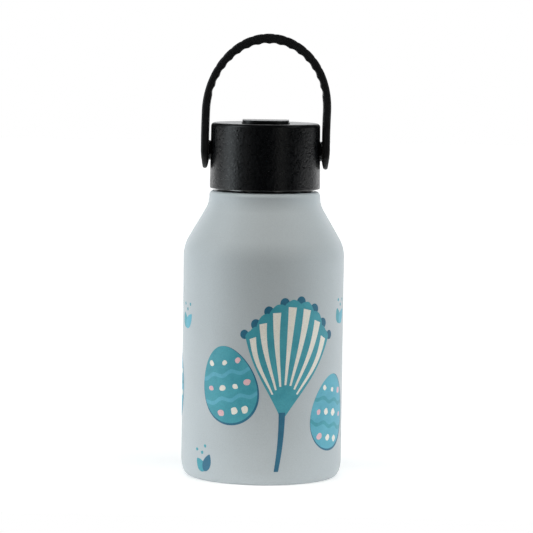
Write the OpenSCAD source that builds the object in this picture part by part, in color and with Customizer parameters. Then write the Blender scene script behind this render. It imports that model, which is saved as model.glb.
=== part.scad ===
// Insulated drinking bottle for a child: a double-wall steel vessel with a
// conical shoulder, a screw lid with a fold-away spout and straw, and a
// swinging carry loop. Millimetres. The origin is the centre of the base,
// +Z runs up the bottle's axis, the front faces -Y.

/* [Bottle] */
// Outside diameter of the straight body
body_d = 73; // [70:0.5:76]
// Height at which the straight wall turns into the shoulder
body_h = 104.4; // [90:0.1:110]
// Angle of the shoulder from the axis, in degrees
shoulder_angle = 30.5; // [28:0.5:33]
// Diameter at the top of the shoulder, level with the lid
collar_d = 50.2; // [49.8:0.1:50.6]
// Height of the step where the collar ends and the neck starts
collar_z = 129.4; // [128.4:0.1:129.6]
// Wall thickness of the steel
steel_wall = 0.5; // [0.4:0.05:0.6]
// Thickness of the vacuum gap beside the straight wall
vacuum_gap = 3.4; // [3:0.1:4]
// Width of the rounded corner at the base
base_corner_w = 3.4; // [3:0.1:4]
// Height of the rounded corner at the base
base_corner_h = 7.3; // [6:0.1:8]

/* [Neck] */
// Outside diameter of the neck under its thread
neck_d = 42; // [41.8:0.1:42.2]
// Height of the rim of the mouth
neck_top = 142.4; // [142:0.1:142.4]
// Lead of the lid's thread
thread_lead = 4; // [3.8:0.1:4.2]
// Length of the thread, in degrees of turn
thread_turn = 450; // [420:10:460]

/* [Lid] */
// Diameter of the lid at its bottom edge
lid_d = 49.9; // [49.8:0.1:50.2]
// Diameter of the lid at its top edge
lid_top_d = 49.3; // [49.0:0.1:49.6]
// Height of the lid's bottom edge
lid_z = 130.5; // [130.2:0.1:130.6]
// Height of the lid's top face
lid_top = 160.1; // [160:0.1:160.4]
// Rounding of the lid's top edge
lid_round = 1.7; // [1:0.1:1.9]
// Thickness of the lid's skirt
lid_wall = 1.35; // [1.3:0.05:1.4]

/* [Spout] */
// Width of the spout's cover plate and hinge barrel
plate_w = 20.9; // [20:0.1:21]
// Distance from the hinge axis to the plate's front edge
plate_reach = 20.3; // [20:0.05:20.5]
// Radius of the plate's front corners, seen from above
plate_round = 6.5; // [6:0.1:7]
// Height of the plate above the lid's top face
plate_proud = 1.6; // [1.5:0.1:1.7]
// Radius of the hinge barrel
barrel_r = 6.8; // [6.7:0.1:6.9]
// Diameter of the drinking channel
channel_d = 4.8; // [4:0.1:5]

/* [Straw] */
// Outside diameter of the straw
straw_d = 6.5; // [6:0.1:6.5]
// Height of the straw's lower end
straw_z = 9; // [8:0.5:14]

/* [Carry loop] */
// Height of the loop's pivots
pivot_z = 147.5; // [147.4:0.1:147.8]
// Half width of the loop's outside
loop_half_w = 29.1; // [29:0.1:29.6]
// Height of the loop's crown
loop_top = 200.3; // [199:0.1:202]
// Thickness of the loop's legs
loop_t = 3.55; // [3.5:0.05:3.6]
// Thickness of the loop's crown
loop_crown_t = 4.55; // [4.3:0.05:4.7]
// Width of the strap
loop_w = 14.4; // [12:0.1:15]
// Radius of the rounded ends around the pivots
loop_end_r = 8.2; // [7.9:0.1:8.3]

/* [Hidden] */
$fn = 96;
e = 0.01;
br = body_d/2;
cr = collar_d/2;
nr = neck_d/2;
hem_r = 31;                    // inside radius of the standing ring
base_z = 2.1;                  // underside of the recessed base disc
shoulder_z = body_h + (br - cr)/tan(shoulder_angle);
ir = br - steel_wall - vacuum_gap;               // outside of the inner vessel
gap_h = (steel_wall + 3)/cos(shoulder_angle);    // gap of the cones, measured level
inner_h = body_h + (br - ir - gap_h)/tan(shoulder_angle);
inr = nr - steel_wall - 0.5;                     // outside of the inner neck
inner_neck_z = inner_h + (ir - inr)/tan(shoulder_angle);
weld_z = 18;                   // seam of the inner vessel and its bottom
inner_z = 5.6;                 // underside of the inner bottom
inner_corner = 4.5;            // outer corner radius of the inner bottom
root_r = 22.2;                 // inside of the lid liner's wall
liner_r = 23.4;
liner_z = 131;
liner_under = 144;             // sealing face above the rim
liner_top = 145.8;
ext_crest = nr + 1;            // tips of the neck's thread
int_crest = nr + 0.3;          // tips of the liner's thread
axis_z = lid_top + plate_proud - barrel_r;       // hinge axis of the spout
plate_t = 1.8;
plate_top = lid_top + plate_proud;
well_r = barrel_r + 0.35;
well_w = plate_w/2 + 0.4;
trough_w = 7.75;
trough_y = -18.7;
trough_z = 148.9;
seat_r = 4.2;
valve_y = -12;
trunnion_r = 1.8;
boss_r = 4.45;
boss_x = 25.5;
loop_in = 25.6;                // inner faces of the loop's legs at the pivots
spring_z = 165.5;              // height where the legs turn into the arch

// --- helpers ---------------------------------------------------------------

function unit(v) = v/norm(v);
function left(v) = [-v[1], v[0]];
// Arc that rounds the corner b of the path a, b, c with radius r
function corner(a, b, c, r, n=10) =
  let(u=unit(a-b), v=unit(c-b), h=acos(max(-1, min(1, u*v)))/2,
      d=r/tan(h), p=b+u*d, q=b+v*d, m=b+unit(u+v)*(r/sin(h)),
      a0=atan2(p[1]-m[1], p[0]-m[0]), a1=atan2(q[1]-m[1], q[0]-m[0]),
      w=a1-a0, s=w>180 ? w-360 : w<-180 ? w+360 : w)
  [for (i=[0:n]) m + r*[cos(a0+s*i/n), sin(a0+s*i/n)]];
// Open path with its corners rounded; rr holds one radius per point
function rounded(p, rr, n=10) = [for (i=[0:len(p)-1])
  each (rr[i] == 0 || i == 0 || i == len(p)-1) ? [p[i]]
       : corner(p[i-1], p[i], p[i+1], rr[i], n)];
// The same path moved to its left by w, mitred
function beside(p, w) = [for (i=[0:len(p)-1])
  let(n1=left(unit(i == 0 ? p[1]-p[0] : p[i]-p[i-1])),
      n2=left(unit(i == len(p)-1 ? p[i]-p[i-1] : p[i+1]-p[i])))
  p[i] + w*(n1+n2)/(1+n1*n2)];
// Closed outline of a wall of thickness w on the left of a rounded path
function wall(p, w, rr) =
  let(a=rounded(p, rr), b=beside(a, w))
  concat(a, [for (i=[len(b)-1:-1:0]) b[i]]);
function reversed(p) = [for (i=[len(p)-1:-1:0]) p[i]];

// One cross-section of a helical ridge
function ridge(r1, r2, wb, wc, z, a) = [
  [r1*cos(a), r1*sin(a), z-wb/2], [r2*cos(a), r2*sin(a), z-wc/2],
  [r2*cos(a), r2*sin(a), z+wc/2], [r1*cos(a), r1*sin(a), z+wb/2]];

// Helical ridge rooted at r1, its tips at rc, fading out at both ends
module thread(r1, rr, rc, z0, a0, a1) {
  wb = 2; wc = 0.9; fade = 24; n = round((a1-a0)/9);
  pts = [for (i=[0:n]) let(a=a0+i*(a1-a0)/n,
                           k=min(1, (a-a0)/fade+0.05, (a1-a)/fade+0.05))
    each ridge(r1, rr+(rc-rr)*k, wb, wc*k+wb*(1-k)*0.6, z0+thread_lead*a/360, a)];
  faces = concat([[0,1,2], [0,2,3]],
    [for (i=[0:n-1]) for (j=[0:3]) let(p=4*i+j, q=4*i+(j+1)%4)
      each [[p, p+4, q], [q, p+4, q+4]]],
    [[4*n+2, 4*n+1, 4*n], [4*n+3, 4*n+2, 4*n]]);
  polyhedron(pts, rc < rr ? faces : [for (f=faces) [f[2], f[1], f[0]]], convexity=6);
}

// Cylinder along X between x0 and x1
module xcyl(r, x0, x1, y=0, z=0) {
  translate([x0, y, z]) rotate([0, 90, 0]) cylinder(r=r, h=x1-x0);
}
// The same on both sides
module both() { children(); mirror([1, 0, 0]) children(); }

// Flat stadium outline: half spacing s of the ends, end radius r
module stadium(s, r) {
  union() {
    translate([-s, 0]) circle(r=r);
    translate([s, 0]) circle(r=r);
    square([2*s, 2*r], center=true);
  }
}
// Stadium section swept along Y between y0 and y1 at height z
module ybar(s, r, y0, y1, z) {
  translate([0, y1, z]) rotate([90, 0, 0]) linear_extrude(y1-y0) stadium(s, r);
}

// Outline of the spout's cover plate seen from above, grown by g
module plate_outline(g=0) {
  w = plate_w/2 + g; f = plate_reach + g; r = plate_round + g;
  union() {
    translate([-w, -f+r]) square([2*w, f-r]);
    translate([-w+r, -f]) square([2*(w-r), f]);
    for (s=[-1, 1]) translate([s*(w-r), -f+r]) circle(r=r);
  }
}
// The folded spout's trough seen from above
module trough_outline() {
  r = 3;
  union() {
    translate([-trough_w, trough_y+r]) square([2*trough_w, -trough_y-r]);
    translate([-trough_w+r, trough_y]) square([2*(trough_w-r), -trough_y]);
    for (s=[-1, 1]) translate([s*(trough_w-r), trough_y+r]) circle(r=r);
  }
}

// --- bottle ----------------------------------------------------------------

module outer_shell() {
  n = 10;
  path = concat([[hem_r, base_z+0.5], [hem_r, 0]],
    [for (i=[0:n]) let(t=90*i/n)
      [br-base_corner_w+base_corner_w*sin(t), base_corner_h*(1-cos(t))]],
    [[br, body_h], [cr, shoulder_z], [cr, collar_z], [nr, collar_z], [nr, neck_top-steel_wall]]);
  radii = concat([0, 0], [for (i=[0:n]) 0], [16.8, 12.8, 2, 0.8, 0]);
  color([0.72, 0.76, 0.79]) union() {
    rotate_extrude() polygon(wall(path, steel_wall, radii));
    thread(nr-steel_wall/2, nr, ext_crest, 133, 0, thread_turn);
  }
}

module outer_base() {
  t = steel_wall;
  color([0.78, 0.79, 0.8]) rotate_extrude() polygon([
    [0.8, 4.4], [5, 4.4], [6.2, base_z+t], [hem_r, base_z+t],
    [hem_r, base_z], [5.9, base_z], [4.8, 4.4-t], [0.8, 4.4-t]]);
}

module base_cover() {
  color([0.8, 0.81, 0.82]) rotate_extrude() polygon([
    [0, base_z-0.6], [27.1, base_z-0.6], [27.5, base_z-0.3], [27.5, base_z], [0, base_z]]);
}

module vacuum_seal() {
  color([0.55, 0.57, 0.6]) union() {
    translate([0, 0, 3.1]) cylinder(r=3.2, h=0.8);
    translate([0, 0, 3]) cylinder(r=0.8, h=1.3);
    translate([0, 0, 2.6]) cylinder(r=2, h=0.6);
  }
}

module getter() {
  color([0.45, 0.46, 0.48]) translate([15, 0, base_z+steel_wall]) union() {
    cylinder(r=4.2, h=0.5);
    cylinder(r=3.4, h=1.9);
  }
}

module inner_vessel() {
  lip = neck_top - steel_wall;
  path = [[ir, weld_z], [ir, inner_h], [inr, inner_neck_z], [inr, lip], [nr, lip]];
  color([0.8, 0.81, 0.82]) rotate_extrude()
    polygon(wall(path, steel_wall, [0, 14, 13, 0.15, 0]));
}

module inner_bottom() {
  path = [[0, inner_z], [ir, inner_z], [ir, weld_z]];
  w = wall(path, steel_wall, [0, inner_corner, 0]);
  color([0.8, 0.81, 0.82]) rotate_extrude() polygon(w);
}

// --- straw and seals -------------------------------------------------------

module straw() {
  r = straw_d/2;
  color([0.93, 0.94, 0.95]) difference() {
    translate([0, 0, straw_z]) cylinder(r=r, h=147.3-straw_z);
    translate([0, 0, straw_z-1]) cylinder(r=r-0.6, h=150-straw_z);
    translate([0, 0, straw_z]) rotate([0, 30, 0]) translate([-20, -20, -20]) cube([40, 40, 20]);
  }
}

module neck_gasket() {
  z0 = neck_top + 0.05; z1 = liner_under - 0.05;
  color([0.9, 0.9, 0.9]) rotate_extrude() polygon([
    [18.9, z0+0.3], [19.2, z0], [21.3, z0], [21.6, z0+0.3],
    [21.6, z1-0.3], [21.3, z1], [19.2, z1], [18.9, z1-0.3]]);
}

// --- lid -------------------------------------------------------------------

module pocket_block() {
  union() {
    xcyl(well_r+1.4, -well_w-1.4, well_w+1.4, 0, axis_z);
    translate([-well_w-1.4, 0, axis_z]) cube([2*well_w+2.8, well_r+1.4, 5]);
    translate([-trough_w-1.3, trough_y-1.3, trough_z-1.5]) cube([2*trough_w+2.6, -trough_y+1.3, 11.5]);
    both() xcyl(4.5, well_w, well_w+2.6, 0, axis_z);
    translate([0, 0, liner_top]) cylinder(r=8, h=5);
    translate([0, valve_y, liner_top]) cylinder(r=4.4, h=3);
  }
}

module lid_shell() {
  b = lid_d/2; t = lid_top_d/2;
  out = rounded([[0, lid_z], [b, lid_z], [t, lid_top], [0, lid_top]],
                [0, 0.4, lid_round, 0]);
  cav = [[0, lid_z-1], [b-lid_wall, lid_z-1], [b-lid_wall-0.1, lid_z+0.8],
         [23.5, lid_z+1.2], [23.5, 147], [22.9, lid_top-3], [21.9, lid_top-2], [0, lid_top-2]];
  color([0.08, 0.08, 0.09]) difference() {
    union() {
      rotate_extrude() polygon(out);
      both() xcyl(boss_r, 22.6, boss_x, 0, pivot_z);
    }
    difference() {
      rotate_extrude() polygon(cav);
      pocket_block();
    }
    // hinge well, open behind the barrel for the raised plate
    xcyl(well_r, -well_w, well_w, 0, axis_z);
    translate([-well_w, 0, axis_z]) cube([2*well_w, well_r, 10]);
    // trough of the folded spout
    translate([0, 0, trough_z]) linear_extrude(20) trough_outline();
    // seat of the cover plate
    translate([0, 0, plate_top-plate_t-0.25]) linear_extrude(5) plate_outline(0.35);
    // finger scoop
    translate([0, -18, lid_top+7.8]) sphere(r=9);
    // holes of the valve seat, the air valve, the trunnions and the rivets
    translate([0, 0, liner_top-1]) cylinder(r=seat_r+0.1, h=8);
    translate([0, 0, liner_top-1]) cylinder(r=6.6, h=2.15);
    translate([0, valve_y, liner_top-1]) cylinder(r=1.6, h=8);
    both() xcyl(trunnion_r+0.08, well_w-1, well_w+2.1, 0, axis_z);
    both() xcyl(1.8, 20, 30, 0, pivot_z);
  }
}

module lid_liner() {
  color([0.16, 0.16, 0.17]) union() {
    difference() {
      rotate_extrude() polygon(concat(
        [[0, liner_under], [root_r, liner_under], [root_r, liner_z+0.6], [root_r+0.4, liner_z],
         [liner_r-0.3, liner_z], [liner_r, liner_z+0.3], [liner_r, liner_top-0.6],
         [liner_r-0.6, liner_top], [0, liner_top]]));
      translate([0, 0, 140]) cylinder(r=seat_r+0.1, h=10);
      translate([0, valve_y, 140]) cylinder(r=1.6, h=10);
    }
    thread(root_r+0.3, root_r, int_crest, 131, 135, 135+thread_turn);
  }
}

module spout_seat() {
  r = straw_d/2 + 0.08;
  color([0.9, 0.9, 0.9]) difference() {
    rotate_extrude() polygon([
      [r+0.3, 137], [seat_r-0.4, 137], [seat_r, 137.4], [seat_r, liner_top+0.05],
      [6.5, liner_top+0.05], [6.5, liner_top+1.05], [seat_r, liner_top+1.05], [seat_r, 151],
      [channel_d/2, 151], [channel_d/2, 147.7], [r, 147.7], [r, 137.3]]);
    xcyl(barrel_r+0.08, -12, 12, 0, axis_z);
  }
}

module air_valve() {
  color([0.9, 0.9, 0.9]) translate([0, valve_y, 0]) rotate_extrude() polygon([
    [0, 138.6], [0.7, 138.6], [2.3, 142.6], [2.3, 143.9], [1.55, 144], [1.55, trough_z],
    [3, trough_z], [3, trough_z+0.35], [1.6, trough_z+0.75], [0.5, trough_z+0.75],
    [0.5, 141.5], [0.25, 139.6], [0, 139.5]]);
}

module spout_arm() {
  color([0.09, 0.09, 0.1]) difference() {
    union() {
      xcyl(barrel_r, -plate_w/2, plate_w/2, 0, axis_z);
      both() xcyl(trunnion_r, plate_w/2-1, plate_w/2+2.2, 0, axis_z);
      ybar(2.4, 3.9, -10.5, 0, axis_z);
      ybar(2.4, 2.9, -16.6, 0, axis_z);
      translate([-4, -16, axis_z+2]) cube([8, 16, plate_top-plate_t-axis_z-1.5]);
      intersection() {
        translate([0, 0, plate_top-plate_t]) linear_extrude(plate_t) plate_outline();
        translate([-20, -30, plate_top-plate_t-1]) cube([40, 30, 5]);
      }
    }
    translate([0, 10, axis_z]) rotate([90, 0, 0]) cylinder(d=channel_d, h=30);
    // arched finger notch under the front lip
    translate([0, -18.9, plate_top-plate_t+1.15-20]) rotate([90, 0, 0]) cylinder(r=20, h=5);
  }
}

module mouthpiece() {
  color([0.13, 0.13, 0.14]) difference() {
    union() {
      ybar(2.4, 4.1, -17, -10.55, axis_z);
      ybar(2.4, 3.6, -17.7, -12, axis_z);
    }
    ybar(2.4, 2.9, -16.6, -5, axis_z);
    translate([0, -10, axis_z]) rotate([90, 0, 0]) cylinder(d=channel_d, h=10);
    // clears the web under the cover plate
    translate([-4.1, -16.1, axis_z+2]) cube([8.2, 16, 8]);
  }
}

// --- carry loop ------------------------------------------------------------

module carry_loop() {
  n = 32;
  h_out = loop_top - spring_z;
  h_in = loop_top - loop_crown_t - spring_z;
  w_in = loop_half_w - loop_t;
  arch = function (w, h) [for (i=[0:n]) let(t=180*i/n) [w*cos(t), spring_z+h*sin(t)]];
  bot = pivot_z - loop_end_r - 1;
  x_out = loop_in + loop_t - 0.05;
  pts = concat([[x_out, bot], [x_out, pivot_z]], arch(loop_half_w, h_out),
               [[-x_out, pivot_z], [-x_out, bot], [-loop_in, bot], [-loop_in, pivot_z]],
               reversed(arch(w_in, h_in)), [[loop_in, pivot_z], [loop_in, bot]]);
  color([0.1, 0.1, 0.11]) difference() {
    intersection() {
      translate([0, 20, 0]) rotate([90, 0, 0]) linear_extrude(40) polygon(pts);
      union() {
        xcyl(loop_end_r, -40, 40, 0, pivot_z);
        translate([-40, -loop_w/2, pivot_z]) cube([80, loop_w, 80]);
      }
    }
    both() xcyl(2.7, 20, 40, 0, pivot_z);
    both() xcyl(4, 28, 40, 0, pivot_z);
  }
}

module loop_rivets() {
  color([0.12, 0.12, 0.13]) both() union() {
    xcyl(1.8, 23.5, 26.5, 0, pivot_z);
    xcyl(2.62, boss_x, 28.2, 0, pivot_z);
    xcyl(3.85, 28.1, 29.0, 0, pivot_z);
  }
}

outer_shell();
outer_base();
base_cover();
vacuum_seal();
getter();
inner_vessel();
inner_bottom();
straw();
neck_gasket();
lid_shell();
lid_liner();
spout_seat();
air_valve();
spout_arm();
mouthpiece();
carry_loop();
loop_rivets();
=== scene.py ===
import bpy, bmesh, math, random
from mathutils import Vector, Matrix, noise
from mathutils.geometry import delaunay_2d_cdt


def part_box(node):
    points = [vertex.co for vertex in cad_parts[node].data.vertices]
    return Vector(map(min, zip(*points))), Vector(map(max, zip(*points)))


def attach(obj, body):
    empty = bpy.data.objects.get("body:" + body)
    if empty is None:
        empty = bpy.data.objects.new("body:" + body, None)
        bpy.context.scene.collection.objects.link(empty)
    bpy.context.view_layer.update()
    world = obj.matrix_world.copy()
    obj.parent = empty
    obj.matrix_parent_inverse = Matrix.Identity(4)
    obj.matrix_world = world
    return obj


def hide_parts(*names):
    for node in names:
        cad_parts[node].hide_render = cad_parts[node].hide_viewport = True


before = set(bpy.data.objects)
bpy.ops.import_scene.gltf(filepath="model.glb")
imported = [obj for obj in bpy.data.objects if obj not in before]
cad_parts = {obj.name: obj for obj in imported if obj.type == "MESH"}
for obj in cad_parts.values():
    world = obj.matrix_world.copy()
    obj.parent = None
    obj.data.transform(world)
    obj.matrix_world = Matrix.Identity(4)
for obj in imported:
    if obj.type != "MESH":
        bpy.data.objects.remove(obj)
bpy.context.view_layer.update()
MM = 0.001
random.seed(7)

# ---------------------------------------------------------------- dimensions
# All in millimetres, in the row's frame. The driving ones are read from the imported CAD.
def lohi(node):
    a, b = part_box(node)
    return [v * 1000 for v in a], [v * 1000 for v in b]

(sh_lo, sh_hi) = lohi("outer_shell")
(lid_lo, lid_hi) = lohi("lid_shell")
(arm_lo, arm_hi) = lohi("spout_arm")
(loop_lo, loop_hi) = lohi("carry_loop")
(mp_lo, mp_hi) = lohi("mouthpiece")
BR = sh_hi[0]                    # radius of the body
SKIN = 0.08                      # the print lies in this skin, so the whole stays inside the CAD box
BV = BR - SKIN
BODY_H, CR, COLLAR_Z, NR = 104.4, 25.1, 129.4, 21.0
NECK_TOP = 142.4
W = 0.5
TAN = math.tan(math.radians(30.5))
SHOULDER_Z = BODY_H + (BR - CR) / TAN
HEM_R, BASE_Z = 31.0, 2.1
IR = BR - W - 3.4
GAP_H = (W + 3) / math.cos(math.radians(30.5))
INNER_H = BODY_H + (BR - IR - GAP_H) / TAN
INR = NR - W - 0.5
INNER_NECK_Z = INNER_H + (IR - INR) / TAN
WELD_Z, INNER_Z = 18.0, 5.6
LEAD = 4.0
LID_Z, LID_TOP = lid_lo[2], lid_hi[2]
LID_B, LID_T, LID_ROUND = 24.95, 24.65, 1.7
ROOT_R, LINER_R, LINER_Z = 22.2, 23.4, 131.0
LINER_UNDER, LINER_TOP = 144.0, 145.8
PLATE_TOP = arm_hi[2]
BARREL_R = 6.8
AXIS_Z = PLATE_TOP - BARREL_R
PLATE_W, PLATE_REACH, PLATE_ROUND, PLATE_T = 20.9, -arm_lo[1], 6.5, 1.8
WELL_R, WELL_W = BARREL_R + 0.35, 20.9 / 2 + 0.4
TROUGH_W, TROUGH_Y, TROUGH_Z = 7.75, -18.7, 148.9
SEAT_R, VALVE_Y, CHANNEL_R = 4.2, -12.0, 2.4
PIVOT_Z = 147.5
STRAW_R, STRAW_Z = 3.25, 9.0

# ---------------------------------------------------------------- 2D helpers
def corner(a, b, c, r, n):
    a, b, c = Vector(a), Vector(b), Vector(c)
    u, v = (a - b).normalized(), (c - b).normalized()
    h = math.acos(max(-1, min(1, u.dot(v)))) / 2
    d = r / math.tan(h)
    p, q = b + u * d, b + v * d
    m = b + (u + v).normalized() * (r / math.sin(h))
    a0 = math.atan2(p.y - m.y, p.x - m.x)
    a1 = math.atan2(q.y - m.y, q.x - m.x)
    s = (a1 - a0 + math.pi) % (2 * math.pi) - math.pi
    return [(m.x + r * math.cos(a0 + s * i / n), m.y + r * math.sin(a0 + s * i / n)) for i in range(n + 1)]

def rounded(p, rr, n=16):
    out = []
    for i, pt in enumerate(p):
        if rr[i] == 0 or i in (0, len(p) - 1):
            out.append(tuple(pt))
        else:
            out += corner(p[i - 1], p[i], p[i + 1], rr[i], n)
    return out

def ring_rounded(p, rr, n=10):
    """Closed outline with rounded corners."""
    out = []
    k = len(p)
    for i in range(k):
        if rr[i] == 0:
            out.append(tuple(p[i]))
        else:
            out += corner(p[i - 1], p[i], p[(i + 1) % k], rr[i], n)
    return out

def beside(p, w):
    out = []
    P = [Vector(q) for q in p]
    for i in range(len(P)):
        d1 = (P[1] - P[0]) if i == 0 else (P[i] - P[i - 1])
        d2 = (P[i] - P[i - 1]) if i == len(P) - 1 else (P[i + 1] - P[i])
        n1 = Vector((-d1.y, d1.x)).normalized()
        n2 = Vector((-d2.y, d2.x)).normalized()
        q = P[i] + w * (n1 + n2) / (1 + n1.dot(n2))
        out.append((q.x, q.y))
    return out

def dense(p, step):
    """Open path with points no further apart than step."""
    out = [p[0]]
    for a, b in zip(p[:-1], p[1:]):
        d = math.dist(a, b)
        n = max(1, int(math.ceil(d / step)))
        out += [(a[0] + (b[0] - a[0]) * i / n, a[1] + (b[1] - a[1]) * i / n) for i in range(1, n + 1)]
    return out

def smooth01(x):
    x = max(0.0, min(1.0, x))
    return x * x * (3 - 2 * x)

# ---------------------------------------------------------------- mesh helpers
def link(name, me, mats=(), sharp=32):
    ob = bpy.data.objects.new(name, me)
    bpy.context.scene.collection.objects.link(ob)
    for m in mats:
        me.materials.append(m)
    me.shade_smooth()
    if sharp is not None:
        me.set_sharp_from_angle(angle=math.radians(sharp))
    return ob

def mesh_from(name, verts, faces, scale=MM):
    me = bpy.data.meshes.new(name)
    me.from_pydata([(v[0] * scale, v[1] * scale, v[2] * scale) for v in verts], [], faces)
    me.validate()
    return me

def tidy(me, dist=2e-6):
    bm = bmesh.new(); bm.from_mesh(me)
    bmesh.ops.remove_doubles(bm, verts=bm.verts, dist=dist)
    bmesh.ops.recalc_face_normals(bm, faces=bm.faces)
    bm.to_mesh(me); bm.free()

def lathe_mesh(name, prof, seg=192, closed=True, radial=None, centre=(0, 0)):
    """Turns the outline prof [(r, z)...] about Z. radial(r, z, theta, i) may move a point's radius."""
    verts, faces = [], []
    k = len(prof)
    for i, (r, z) in enumerate(prof):
        for j in range(seg):
            t = 2 * math.pi * j / seg
            rr = radial(r, z, t, i) if radial else r
            verts.append((centre[0] + rr * math.cos(t), centre[1] + rr * math.sin(t), z))
    rows = range(k) if closed else range(k - 1)
    for i in rows:
        a, b = i * seg, ((i + 1) % k) * seg
        if prof[i][0] < 1e-9 and prof[(i + 1) % k][0] < 1e-9:
            continue
        for j in range(seg):
            j2 = (j + 1) % seg
            faces.append((a + j, a + j2, b + j2, b + j))
    me = mesh_from(name, verts, faces)
    tidy(me)
    return me

def apply_mods(ob):
    dg = bpy.context.evaluated_depsgraph_get()
    me = bpy.data.meshes.new_from_object(ob.evaluated_get(dg), preserve_all_data_layers=True, depsgraph=dg)
    old = ob.data
    ob.modifiers.clear()
    ob.data = me
    bpy.data.meshes.remove(old)
    return ob

def boolean(ob, cutter, op="DIFFERENCE", keep=False):
    m = ob.modifiers.new("b", "BOOLEAN")
    m.operation = op; m.solver = "EXACT"; m.object = cutter
    bpy.context.view_layer.update()
    apply_mods(ob)
    if not keep:
        bpy.data.objects.remove(cutter)
    return ob

def bevel(ob, width, seg=3, angle=30, profile=0.6):
    m = ob.modifiers.new("bev", "BEVEL")
    m.width = width * MM; m.segments = seg; m.limit_method = "ANGLE"
    m.angle_limit = math.radians(angle); m.profile = profile
    m.use_clamp_overlap = True; m.harden_normals = False
    bpy.context.view_layer.update()
    return apply_mods(ob)

def dissolve(ob, deg=0.2):
    bm = bmesh.new(); bm.from_mesh(ob.data)
    bmesh.ops.dissolve_limit(bm, angle_limit=math.radians(deg), verts=bm.verts, edges=bm.edges)
    bmesh.ops.remove_doubles(bm, verts=bm.verts, dist=2e-6)
    bm.to_mesh(ob.data); bm.free()
    return ob

def xcyl(r, x0, x1, y, z, seg=96):
    verts, faces = [], []
    for x in (x0, x1):
        for j in range(seg):
            t = 2 * math.pi * j / seg
            verts.append((x, y + r * math.cos(t), z + r * math.sin(t)))
    faces = [(j, (j + 1) % seg, seg + (j + 1) % seg, seg + j) for j in range(seg)]
    faces += [tuple(range(seg))[::-1], tuple(range(seg, 2 * seg))]
    me = mesh_from("xc", verts, faces); tidy(me)
    return link("tmp", me, sharp=None)

def prism(outline, z0, z1, frame3=None, name="tmp"):
    """Closed prism over a 2D outline. frame3(u, v, w) maps it into space; by default u, v, w are x, y, z."""
    f = frame3 or (lambda u, v, w: (u, v, w))
    n = len(outline)
    verts = [f(u, v, z0) for u, v in outline] + [f(u, v, z1) for u, v in outline]
    faces = [(j, (j + 1) % n, n + (j + 1) % n, n + j) for j in range(n)]
    faces += [tuple(range(n))[::-1], tuple(range(n, 2 * n))]
    me = mesh_from(name, verts, faces); tidy(me)
    return link(name, me, sharp=None)

def stadium(s, r, n=20):
    pts = []
    for i in range(n + 1):
        t = -math.pi / 2 + math.pi * i / n
        pts.append((s + r * math.cos(t), r * math.sin(t)))
    for i in range(n + 1):
        t = math.pi / 2 + math.pi * i / n
        pts.append((-s + r * math.cos(t), r * math.sin(t)))
    return pts

def rrect_front(w, f, r, back=0.0, n=14):
    """Outline seen from above: straight back at y=back, front at y=-f with rounded corners."""
    return ring_rounded([(-w, back), (-w, -f), (w, -f), (w, back)], [0, r, r, 0], n)

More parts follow.
